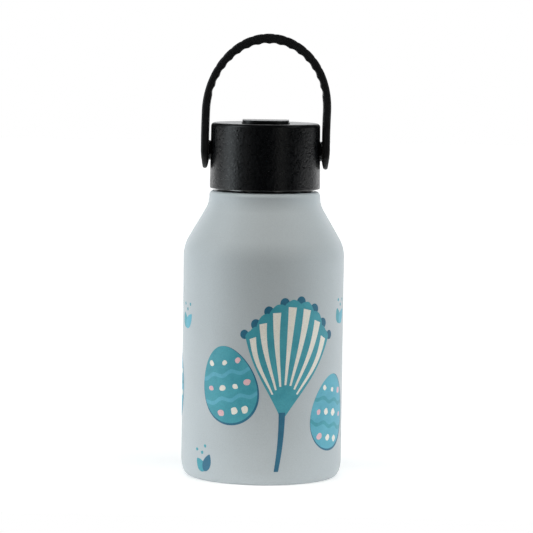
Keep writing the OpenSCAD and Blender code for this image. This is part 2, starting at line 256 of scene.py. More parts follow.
# ---------------------------------------------------------------- materials
class Mat:
    def __init__(self, name):
        self.m = bpy.data.materials.new(name)
        self.m.use_nodes = True
        self.nt = self.m.node_tree
        self.b = self.nt.nodes["Principled BSDF"]
        self.tc = self.nt.nodes.new("ShaderNodeTexCoord")
        self.obj = self.tc.outputs["Object"]
    def set(self, **kw):
        for k, v in kw.items():
            self.b.inputs[k.replace("_", " ")].default_value = v
        return self
    def node(self, kind, inputs=None, **props):
        n = self.nt.nodes.new(kind)
        for k, v in props.items():
            setattr(n, k, v)
        for k, v in (inputs or {}).items():
            s = n.inputs[k]
            if isinstance(v, bpy.types.NodeSocket):
                self.nt.links.new(v, s)
            else:
                s.default_value = v
        return n
    def noise(self, scale, detail=3, rough=0.55, vec=None, dist=0.0):
        n = self.node("ShaderNodeTexNoise", {"Vector": vec or self.obj, "Scale": scale, "Detail": detail, "Roughness": rough, "Distortion": dist})
        return n.outputs["Fac"]
    def voronoi(self, scale, vec=None, feature="F1", out="Distance"):
        n = self.node("ShaderNodeTexVoronoi", {"Vector": vec or self.obj, "Scale": scale}, feature=feature)
        return n.outputs[out]
    def ramp(self, fac, stops):
        n = self.node("ShaderNodeValToRGB", {"Fac": fac})
        cr = n.color_ramp
        while len(cr.elements) > len(stops):
            cr.elements.remove(cr.elements[-1])
        while len(cr.elements) < len(stops):
            cr.elements.new(1.0)
        for e, (p, c) in zip(cr.elements, stops):
            e.position = p
            e.color = (c[0], c[1], c[2], 1) if isinstance(c, (tuple, list)) else (c, c, c, 1)
        return n.outputs["Color"]
    def maprange(self, fac, lo, hi, a=0.0, b=1.0):
        n = self.node("ShaderNodeMapRange", {"Value": fac, "From Min": a, "From Max": b, "To Min": lo, "To Max": hi})
        return n.outputs["Result"]
    def math(self, op, a, b=0.0, c=0.0):
        n = self.node("ShaderNodeMath", {0: a, 1: b, 2: c}, operation=op)
        return n.outputs[0]
    def mix(self, fac, a, b, mode="MIX"):
        n = self.node("ShaderNodeMix", data_type="RGBA", blend_type=mode)
        for key, v in ((0, fac), (6, a), (7, b)):
            s = n.inputs[key]
            if isinstance(v, bpy.types.NodeSocket):
                self.nt.links.new(v, s)
            else:
                s.default_value = v if key == 0 else (v[0], v[1], v[2], 1)
        return n.outputs[2]
    def color(self, sock):
        self.nt.links.new(sock, self.b.inputs["Base Color"]); return self
    def rough(self, sock):
        self.nt.links.new(sock, self.b.inputs["Roughness"]); return self
    def bump(self, parts):
        """parts: (height socket, distance in mm, strength), stacked."""
        prev = None
        for h, d, s in parts:
            ins = {"Height": h, "Distance": d * MM, "Strength": s}
            if prev is not None:
                ins["Normal"] = prev
            prev = self.node("ShaderNodeBump", ins).outputs["Normal"]
        self.nt.links.new(prev, self.b.inputs["Normal"])
        return self
    def rings(self, scale=1500.0):
        """Coordinates that are constant round the Z axis: fine turned or polished lines."""
        sep = self.node("ShaderNodeSeparateXYZ", {0: self.obj})
        flat = self.node("ShaderNodeCombineXYZ", {0: sep.outputs[0], 1: sep.outputs[1]})
        ln = self.node("ShaderNodeVectorMath", {0: flat.outputs[0]}, operation="LENGTH")
        c = self.node("ShaderNodeCombineXYZ", {0: self.math("MULTIPLY", ln.outputs["Value"], scale), 2: self.math("MULTIPLY", sep.outputs[2], scale)})
        return c.outputs[0]

def powder_coat(name, base, dark):
    M = Mat(name)
    big = M.noise(38, 2)
    fine = M.noise(2600, 2, 0.6)
    grain = M.voronoi(1500)
    col = M.mix(M.maprange(big, 0, 1, 0.3, 0.7), base, dark)
    speck = M.ramp(fine, [(0.30, 0.93), (0.52, 1.0), (0.74, 1.04)])
    col = M.mix(1.0, col, speck, "MULTIPLY")
    M.color(col)
    M.rough(M.maprange(M.noise(900, 3), 0.36, 0.52, 0.3, 0.7))
    M.bump([(M.noise(620, 2, 0.5), 0.020, 0.35), (grain, 0.010, 0.30), (fine, 0.006, 0.35)])
    M.set(Specular_IOR_Level=0.40)
    return M.m

def black_plastic(name, base, r0, r1, tex, depth, strength=0.55, sheen=0.0):
    M = Mat(name)
    v = M.voronoi(tex)
    n1 = M.noise(tex * 0.72, 3, 0.65)
    n2 = M.noise(70, 2)
    col = M.mix(M.maprange(n2, 0, 1, 0.3, 0.7), base, [c * 1.35 for c in base])
    col = M.mix(M.maprange(n1, 0, 0.35, 0.45, 0.75), col, [c * 2.4 + 0.0006 for c in base])
    M.color(col)
    M.rough(M.maprange(n1, r0, r1, 0.3, 0.7))
    M.bump([(v, depth, strength), (n1, depth * 0.8, strength)])
    M.set(Specular_IOR_Level=0.5, Sheen_Weight=sheen, Sheen_Roughness=0.5)
    return M.m

def rubber(name, base, r0, r1, scale=1400, depth=0.012):
    M = Mat(name)
    n1 = M.noise(scale, 3, 0.6)
    dust = M.noise(260, 4, 0.7)
    col = M.mix(M.maprange(dust, 0, 0.25, 0.45, 0.8), base, [c * 2.1 + 0.003 for c in base])
    M.color(col)
    M.rough(M.maprange(M.noise(320, 3), r0, r1, 0.3, 0.7))
    M.bump([(n1, depth, 0.5), (M.noise(120, 2), depth * 2, 0.2)])
    M.set(Specular_IOR_Level=0.42, Sheen_Weight=0.05, Sheen_Roughness=0.45)
    return M.m

def silicone(name, base):
    M = Mat(name)
    n = M.noise(180, 3)
    M.color(M.mix(M.maprange(n, 0, 1, 0.3, 0.7), base, [c * 0.94 for c in base]))
    M.rough(M.maprange(M.noise(700, 2), 0.30, 0.42, 0.3, 0.7))
    M.bump([(M.noise(1200, 2), 0.006, 0.4)])
    M.set(Subsurface_Weight=0.35, Subsurface_Radius=(0.9, 0.9, 1.0), Subsurface_Scale=0.0015, Specular_IOR_Level=0.4)
    return M.m

def steel(name, base=(0.60, 0.60, 0.59), r0=0.20, r1=0.34, lines=1300.0):
    M = Mat(name)
    rv = M.rings(lines)
    line = M.noise(1.0, 4, 0.7, vec=rv)
    blotch = M.noise(60, 3)
    M.color(M.mix(M.maprange(blotch, 0, 1, 0.3, 0.7), base, [c * 0.88 for c in base]))
    M.rough(M.maprange(line, r0, r1, 0.3, 0.7))
    M.bump([(line, 0.004, 0.5)])
    M.set(Metallic=1.0)
    return M.m

def straw_mat(name):
    M = Mat(name)
    n = M.noise(140, 3)
    M.color(M.mix(M.maprange(n, 0, 1, 0.3, 0.7), (0.80, 0.83, 0.86), (0.74, 0.78, 0.82)))
    M.rough(M.maprange(M.noise(500, 2), 0.22, 0.34, 0.3, 0.7))
    M.bump([(M.noise(900, 2), 0.003, 0.3)])
    M.set(Subsurface_Weight=0.15, Subsurface_Scale=0.001, IOR=1.49)
    return M.m

def ink(name, base, other, edge=None):
    """Printed ink: a slightly cloudy, grainy tone over the coat's own texture."""
    M = Mat(name)
    wash = M.noise(120, 5, 0.62, dist=0.6)
    fine = M.noise(1900, 2, 0.6)
    col = M.mix(M.maprange(wash, 0, 1, 0.34, 0.66), base, other)
    col = M.mix(1.0, col, M.ramp(fine, [(0.28, 0.90), (0.5, 1.0), (0.76, 1.07)]), "MULTIPLY")
    M.color(col)
    M.rough(M.maprange(wash, 0.40, 0.52, 0.3, 0.7))
    M.bump([(M.noise(620, 2, 0.5), 0.015, 0.35), (fine, 0.006, 0.4)])
    M.set(Specular_IOR_Level=0.45)
    return M.m

def srgb(r, g, b):
    f = lambda c: (c / 255 / 12.92) if c / 255 <= 0.04045 else ((c / 255 + 0.055) / 1.055) ** 2.4
    return (f(r), f(g), f(b))

m_coat = powder_coat("powder_coat", srgb(185, 192, 195), srgb(181, 188, 191))
m_steel = steel("steel_turned")
m_steel_in = steel("steel_inner", (0.56, 0.555, 0.545), 0.26, 0.42, 700.0)
m_seal = silicone("silicone_milky", (0.78, 0.80, 0.81))
m_lid = black_plastic("lid_plastic", (0.0014, 0.0016, 0.0020), 0.22, 0.44, 980, 0.085, 0.80)
m_lid_top = black_plastic("lid_plastic_top", (0.0012, 0.0013, 0.0016), 0.28, 0.38, 1500, 0.014, 0.5)
m_liner = black_plastic("liner_plastic", (0.012, 0.012, 0.013), 0.28, 0.38, 900, 0.006, 0.3)
m_spout = black_plastic("spout_plastic", (0.0040, 0.0043, 0.0048), 0.30, 0.44, 1800, 0.020, 0.5)
m_mouth = rubber("mouthpiece_silicone", (0.016, 0.016, 0.018), 0.42, 0.56)
m_loop = rubber("loop_rubber", (0.0042, 0.0043, 0.0047), 0.46, 0.62)
m_rivet = black_plastic("rivet_plastic", (0.0040, 0.0041, 0.0044), 0.24, 0.36, 1500, 0.006, 0.35)
m_straw = straw_mat("straw_plastic")
m_getter = black_plastic("getter_metal", (0.07, 0.07, 0.072), 0.5, 0.7, 2000, 0.02, 0.6)
m_bead = silicone("solder_bead", (0.10, 0.11, 0.12))

# ---------------------------------------------------------------- bottle
def ext_thread(t, z):
    h = 0.0
    for k in (0, 1):
        a = math.degrees(t) + 360 * k
        if 0 <= a <= 450:
            d = abs(z - (133 + LEAD * a / 360))
            f = min(1, a / 24, (450 - a) / 24)
            h = max(h, f * smooth01((1.02 - d) / 0.58))
    return h

def int_thread(t, z):
    h = 0.0
    for k in (0, 1):
        a = math.degrees(t) + 360 * k
        if 135 <= a <= 585:
            d = abs(z - (131 + LEAD * a / 360))
            f = min(1, (a - 135) / 24, (585 - a) / 24)
            h = max(h, f * smooth01((1.02 - d) / 0.58))
    return h

def shell_path():
    n = 22
    ell = [(BV - 3.4 + 3.4 * math.sin(math.pi / 2 * i / n), 7.3 * (1 - math.cos(math.pi / 2 * i / n))) for i in range(n + 1)]
    p = [(HEM_R, BASE_Z + 0.5), (HEM_R, 0)] + ell + [(BV, BODY_H), (CR, SHOULDER_Z), (CR, COLLAR_Z), (NR, COLLAR_Z), (NR, NECK_TOP - W)]
    rr = [0, 0.35] + [0] * (n + 1) + [16.8, 12.8, 2.0, 0.8, 0]
    q = rounded(p, rr, 22)
    k = next(i for i, a in enumerate(q) if abs(a[0] - NR) < 1e-6 and a[1] > COLLAR_Z)
    low, high = q[:k + 1], q[k:]
    return low, dense(high, 0.22)

low, high = shell_path()
outer = low + high[1:]
inner = beside(low, W)
inner = inner + [(NR - W, high[-1][1])]
prof = outer + inner[::-1]
n_low = len(low)

def neck_radial(r, z, t, i):
    if n_low <= i < len(outer) and z > 130.6:
        return r + ext_thread(t, z)
    return r

me = lathe_mesh("bottle_body", prof, 224, radial=neck_radial)
body = link("bottle_body", me, (m_coat, m_steel), sharp=35)
for p in me.polygons:
    c = p.center / MM
    rad = math.hypot(c.x, c.y)
    if c.z > COLLAR_Z - 0.02 and rad < 22.6 or (rad < HEM_R + 0.02 and c.z < 5) :
        p.material_index = 1
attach(body, "bottle"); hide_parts("outer_shell")

def simple_lathe(name, node, bodyname, prof, mat, seg=160, sharp=32, centre=(0, 0)):
    me = lathe_mesh(name, prof, seg, centre=centre)
    ob = link(name, me, (mat,), sharp=sharp)
    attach(ob, bodyname)
    if node:
        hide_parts(node)
    return ob

lip = NECK_TOP - W
pi_ = rounded([(IR, WELD_Z), (IR, INNER_H), (INR, INNER_NECK_Z), (INR, lip), (NR, lip)], [0, 14, 13, 0.15, 0], 18)
pin = beside(pi_, W)
# rolled rim: the top of the lip is rounded over
rim = [(NR - 0.02 - 0.24 + 0.24 * math.cos(a), lip + 0.25 + 0.25 * math.sin(a)) for a in [math.radians(x) for x in (-60, -30, 0, 30, 60, 90)]]
pin2 = [p for p in pin if not (p[1] > lip + 0.2 and p[0] > INR - 0.3)]
prof = pi_[:-1] + [(NR - 0.3, lip)] + rim + [(INR - 0.05, NECK_TOP)] + [(INR - W + 0.15, NECK_TOP - 0.05), (INR - W, NECK_TOP - 0.25)] + [p for p in pin2[::-1] if p[1] < lip - 0.3]
simple_lathe("inner_vessel_wall", "inner_vessel", "bottle", prof, m_steel_in, 160)
pb = rounded([(0, INNER_Z), (IR, INNER_Z), (IR, WELD_Z)], [0, 4.5, 0], 14)
simple_lathe("inner_vessel_bottom", "inner_bottom", "bottle", pb + beside(pb, W)[::-1], m_steel_in, 160)
t = W
prof = rounded([(0.8, 4.4), (5, 4.4), (6.2, BASE_Z + t), (HEM_R - 0.01, BASE_Z + t), (HEM_R - 0.01, BASE_Z), (5.9, BASE_Z), (4.8, 4.4 - t), (0.8, 4.4 - t)], [0, 0.5, 0.5, 0.1, 0.1, 0.4, 0.4, 0], 5)
simple_lathe("base_disc", "outer_base", "bottle", prof, m_steel, 160)
prof = [(0, BASE_Z - 0.52), (5.2, BASE_Z - 0.52), (5.6, BASE_Z - 0.40), (6.0, BASE_Z - 0.40), (6.4, BASE_Z - 0.6), (22.6, BASE_Z - 0.6), (22.9, BASE_Z - 0.42), (23.3, BASE_Z - 0.42), (23.6, BASE_Z - 0.6),
        (26.9, BASE_Z - 0.6), (27.3, BASE_Z - 0.5), (27.5, BASE_Z - 0.3), (27.5, BASE_Z), (0, BASE_Z)]
simple_lathe("base_cover_disc", "base_cover", "bottle", prof, m_steel, 160, sharp=40)
for node, mt in (("vacuum_seal", m_bead), ("getter", m_getter)):
    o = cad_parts[node]
    o.data.materials.clear(); o.data.materials.append(mt)

# ---------------------------------------------------------------- straw and seals
def straw_piece():
    seg, r, w, top = 96, STRAW_R, 0.6, 147.3
    slant = math.tan(math.radians(30))
    verts, faces = [], []
    def row(rad, zf):
        for j in range(seg):
            t = 2 * math.pi * j / seg
            verts.append((rad * math.cos(t), rad * math.sin(t), zf(rad * math.cos(t))))
    cut = lambda x: STRAW_Z - slant * x if False else STRAW_Z - x * slant
    base = lambda x: max(STRAW_Z, STRAW_Z - x * slant)
    row(r - 0.12, lambda x: top); row(r, lambda x: top - 0.12)
    for k in range(1, 12):
        row(r, lambda x, k=k: top - (top - 20) * k / 11)
    row(r, lambda x: base(x) + 0.10); row(r - 0.1, lambda x: base(x))
    row(r - w + 0.1, lambda x: base(x)); row(r - w, lambda x: base(x) + 0.1)
    row(r - w, lambda x: 20); row(r - w, lambda x: top - 0.12); row(r - w + 0.12, lambda x: top)
    k = len(verts) // seg
    for i in range(k):
        a, b = i * seg, ((i + 1) % k) * seg
        for j in range(seg):
            faces.append((a + j, a + (j + 1) % seg, b + (j + 1) % seg, b + j))
    me = mesh_from("drinking_straw", verts, faces); tidy(me)
    ob = link("drinking_straw", me, (m_straw,), sharp=45)
    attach(ob, "straw_body"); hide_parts("straw")
straw_piece()

z0, z1 = NECK_TOP + 0.05, LINER_UNDER - 0.05
prof = ring_rounded([(18.9, z0), (19.9, z0), (20.0, z0 + 0.12), (20.5, z0 + 0.12), (20.6, z0), (21.6, z0), (21.6, z1), (18.9, z1)], [0.4, 0.05, 0.05, 0.05, 0.05, 0.4, 0.4, 0.4], 6)
simple_lathe("rim_gasket", "neck_gasket", "gasket", prof, m_seal, 160, sharp=50)

def seat_piece():
    r = STRAW_R + 0.08
    out = rounded([(r + 0.3, 137), (SEAT_R, 137), (SEAT_R, LINER_TOP + 0.05), (6.5, LINER_TOP + 0.05), (6.5, LINER_TOP + 1.05), (SEAT_R, LINER_TOP + 1.05), (SEAT_R, 151)],
                  [0, 0.4, 0, 0.3, 0.3, 0, 0], 6)
    inn = [(CHANNEL_R, 151), (CHANNEL_R, 147.7), (r, 147.7), (r, 137.3)]
    prof = dense(out[:-1], 1.5) + dense([out[-1], (CHANNEL_R, 151)], 0.3) + inn[1:]
    me = lathe_mesh("valve_seat", prof, 128)
    lim = BARREL_R + 0.08
    for v in me.vertices:                     # the top follows the barrel
        if v.co.z / MM > 150.9:
            y = v.co.y / MM
            v.co.z = (AXIS_Z - math.sqrt(lim * lim - y * y)) * MM
    ob = link("valve_seat", me, (m_seal,), sharp=40)
    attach(ob, "lid"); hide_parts("spout_seat")
seat_piece()

prof = rounded([(0, 138.6), (0.7, 138.6), (2.3, 142.6), (2.3, 143.95), (1.55, 144), (1.55, TROUGH_Z), (3, TROUGH_Z), (3, TROUGH_Z + 0.35), (1.6, TROUGH_Z + 0.75), (0.5, TROUGH_Z + 0.75),
                (0.5, 141.5), (0.25, 139.6), (0, 139.5)], [0, 0.2, 0.6, 0.1, 0, 0, 0.1, 0.15, 0.4, 0.1, 0.3, 0, 0], 5)
simple_lathe("vent_valve", "air_valve", "lid", prof, m_seal, 64, sharp=50, centre=(0, VALVE_Y))

# ---------------------------------------------------------------- lid
def lid_piece():
    out = rounded([(0, LID_TOP), (LID_T, LID_TOP), (LID_B, LID_Z), (LID_B - 1.35, LID_Z)], [0, LID_ROUND, 0.45, 0], 18)
    cav = rounded([(LID_B - 1.35, LID_Z), (23.5, LID_Z + 1.3), (23.5, 147), (22.9, LID_TOP - 3), (21.9, LID_TOP - 2), (0, LID_TOP - 2)], [0, 0, 0, 0.5, 0.5, 0], 5)
    me = lathe_mesh("lid_cap", out + cav[1:], 224)
    ob = link("lid_cap", me, (m_lid,), sharp=None)
    # bosses of the loop
    for s in (1, -1):
        b = xcyl(4.45, min(s * 24.0, s * 25.5), max(s * 24.0, s * 25.5), 0, PIVOT_Z)
        boolean(ob, b, "UNION")
    # inner pocket walls
    blk = xcyl(WELL_R + 1.4, -WELL_W - 1.4, WELL_W + 1.4, 0, AXIS_Z)
    boolean(blk, prism(rrect_front(TROUGH_W + 1.3, -TROUGH_Y + 1.3, 4.3), TROUGH_Z - 1.5, LID_TOP - 0.6), "UNION")
    boolean(blk, prism([(-WELL_W - 1.4, 0), (WELL_W + 1.4, 0), (WELL_W + 1.4, WELL_R + 1.4), (-WELL_W - 1.4, WELL_R + 1.4)], AXIS_Z, LID_TOP - 0.6), "UNION")
    boolean(blk, xcyl(4.5, -WELL_W - 2.6, WELL_W + 2.6, 0, AXIS_Z, 48), "UNION")
    circ = lambda r, cx=0, cy=0, n=64: [(cx + r * math.cos(2 * math.pi * i / n), cy + r * math.sin(2 * math.pi * i / n)) for i in range(n)]
    boolean(blk, prism(circ(8.0), LINER_TOP, AXIS_Z - 3), "UNION")
    boolean(blk, prism(circ(4.4, 0, VALVE_Y), LINER_TOP, TROUGH_Z - 0.5), "UNION")
    boolean(blk, prism(circ(24.0), LID_TOP - 1.0, LID_TOP + 5), "DIFFERENCE")
    boolean(ob, blk, "UNION")
    # openings
    boolean(ob, xcyl(WELL_R, -WELL_W, WELL_W, 0, AXIS_Z, 128))
    boolean(ob, prism([(-WELL_W, 0), (WELL_W, 0), (WELL_W, WELL_R), (-WELL_W, WELL_R)], AXIS_Z, LID_TOP + 5))
    boolean(ob, prism(rrect_front(TROUGH_W, -TROUGH_Y, 3.0), TROUGH_Z, LID_TOP + 5))
    boolean(ob, prism(rrect_front(PLATE_W / 2 + 0.35, PLATE_REACH + 0.35, PLATE_ROUND + 0.35), PLATE_TOP - PLATE_T - 0.25, LID_TOP + 5))
    boolean(ob, prism(circ(SEAT_R + 0.06), LINER_TOP - 1, AXIS_Z - 3))
    boolean(ob, prism(circ(6.56), LINER_TOP - 1, LINER_TOP + 1.15))
    boolean(ob, prism(circ(1.57, 0, VALVE_Y, 32), LINER_TOP - 1, LINER_TOP + 6))
    for s in (1, -1):
        boolean(ob, xcyl(1.85, min(s * 20, s * 30), max(s * 20, s * 30), 0, PIVOT_Z, 48))
        boolean(ob, xcyl(1.88, min(s * (WELL_W - 1), s * (WELL_W + 2.1)), max(s * (WELL_W - 1), s * (WELL_W + 2.1)), 0, AXIS_Z, 48))
    # finger scoop in front of the plate
    bm = bmesh.new()
    bmesh.ops.create_uvsphere(bm, u_segments=64, v_segments=48, radius=9 * MM, matrix=Matrix.Translation((0, -18 * MM, (LID_TOP + 7.8) * MM)))
    sm = bpy.data.meshes.new("sc"); bm.to_mesh(sm); bm.free()
    boolean(ob, link("tmp", sm, sharp=None))
    dissolve(ob, 0.15)
    bevel(ob, 0.28, 3, 38)
    ob.name = "lid_cap"; ob.data.name = "lid_cap"
    # the top and its rounded edge are smoother than the textured skirt
    ob.data.materials.append(m_lid_top)
    for f in ob.data.polygons:
        if f.center.z > (LID_TOP - LID_ROUND) * MM and f.normal.z > 0.12:
            f.material_index = len(ob.data.materials) - 1
    ob.data.shade_smooth(); ob.data.set_sharp_from_angle(angle=math.radians(28))
    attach(ob, "lid"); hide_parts("lid_shell")
    return ob
lid_piece()

def liner_piece():
    inner_w = dense([(ROOT_R, LINER_UNDER - 0.25), (ROOT_R, LINER_Z + 0.6)], 0.22)
    head = [(SEAT_R + 0.06, LINER_UNDER), (ROOT_R - 0.3, LINER_UNDER)]
    rest = rounded([(ROOT_R, LINER_Z + 0.6), (ROOT_R + 0.4, LINER_Z), (LINER_R, LINER_Z), (LINER_R, LINER_TOP), (SEAT_R + 0.06, LINER_TOP)], [0, 0.1, 0.3, 0.6, 0], 6)
    prof = head + inner_w + rest[1:]
    i0, i1 = len(head), len(head) + len(inner_w)
    def radial(r, z, t, i):
        return r - 0.9 * int_thread(t, z) if i0 < i < i1 - 1 else r
    me = lathe_mesh("threaded_liner", prof, 224, radial=radial)
    ob = link("threaded_liner", me, (m_liner,), sharp=38)
    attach(ob, "lid"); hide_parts("lid_liner")
liner_piece()

# ---------------------------------------------------------------- spout
def ybar(s, r, y0, y1, z):
    return prism(stadium(s, r), y0, y1, lambda u, v, w: (u, w, z + v))

def spout_piece():
    ob = xcyl(BARREL_R, -PLATE_W / 2, PLATE_W / 2, 0, AXIS_Z, 160)
    plate = prism(rrect_front(PLATE_W / 2, PLATE_REACH, PLATE_ROUND), PLATE_TOP - PLATE_T, PLATE_TOP)
    boolean(ob, plate, "UNION")
    boolean(ob, xcyl(1.8, -PLATE_W / 2 - 2.2, PLATE_W / 2 + 2.2, 0, AXIS_Z, 48), "UNION")
    boolean(ob, prism([(-4, 0), (-4, -16), (4, -16), (4, 0)], AXIS_Z + 1.5, PLATE_TOP - PLATE_T + 0.3), "UNION")
    boolean(ob, ybar(2.4, 3.9, -10.5, 0, AXIS_Z), "UNION")
    boolean(ob, ybar(2.4, 2.88, -16.6, 0, AXIS_Z), "UNION")
    n = 48
    boolean(ob, prism([(CHANNEL_R * math.cos(2 * math.pi * i / n), CHANNEL_R * math.sin(2 * math.pi * i / n)) for i in range(n)], -20, 10, lambda u, v, w: (u, w, AXIS_Z + v)))
    # arched notch under the front lip, with a slim rim
    R = 20.0
    zc = PLATE_TOP - PLATE_T + 1.15 - R
    arch = [(R * math.sin(math.radians(a)), zc + R * math.cos(math.radians(a))) for a in range(-30, 31, 1)] + [(12, zc), (-12, zc)]
    boolean(ob, prism(arch, -25, -18.9, lambda u, v, w: (u, w, v)))
    dissolve(ob, 0.15)
    bevel(ob, 0.32, 3, 38)
    ob.name = "flip_spout"; ob.data.name = "flip_spout"
    ob.data.materials.append(m_spout)
    ob.data.shade_smooth(); ob.data.set_sharp_from_angle(angle=math.radians(28))
    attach(ob, "spout"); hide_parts("spout_arm")
spout_piece()

def mouth_piece():
    """Soft sleeve: rings of stadium sections along -Y, rounded at its lip."""
    secs = [(-10.56, 3.75), (-10.56, 4.0), (-10.8, 4.1)] + [(-11.2 - k * 0.7, 4.1) for k in range(3)]
    secs += [(-13.2, 4.06), (-14.0, 3.95), (-14.8, 3.9), (-15.6, 3.96), (-16.3, 4.06), (-16.9, 4.05), (-17.3, 3.85), (-17.55, 3.5), (-17.68, 3.1), (-17.7, 2.75)]
    n = 20
    verts, faces = [], []
    k = len(stadium(2.4, 4.1, n))
    for y, r in secs:
        for u, v in stadium(2.4, r, n):
            verts.append((u, y, AXIS_Z + v))
    # blend into the round bore
    for y, f in ((-17.62, 0.5), (-17.4, 0.85), (-17.0, 1.0), (-16.62, 1.0)):
        for (u, v) in stadium(2.4, 2.75, n):
            a = math.atan2(v, u)
            verts.append((u * (1 - f) + CHANNEL_R * math.cos(a) * f, y, AXIS_Z + v * (1 - f) + CHANNEL_R * math.sin(a) * f))
    for y, r in ((-16.61, 2.9), (-10.56, 2.9)):
        for u, v in stadium(2.4, r, n):
            verts.append((u, y, AXIS_Z + v))
    rows = len(verts) // k
    for i in range(rows):
        a, b = i * k, ((i + 1) % rows) * k
        for j in range(k):
            faces.append((a + j, a + (j + 1) % k, b + (j + 1) % k, b + j))
    me = mesh_from("soft_mouthpiece", verts, faces); tidy(me)
    ob = link("soft_mouthpiece", me, (m_mouth,), sharp=60)
    # the web under the plate passes through a slot in the sleeve's top
    boolean(ob, prism([(-4.1, 0), (-4.1, -16.1), (4.1, -16.1), (4.1, 0)], AXIS_Z + 2, AXIS_Z + 10))
    ob.name = "soft_mouthpiece"
    ob.data.shade_smooth(); ob.data.set_sharp_from_angle(angle=math.radians(40))
    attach(ob, "spout"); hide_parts("mouthpiece")
mouth_piece()

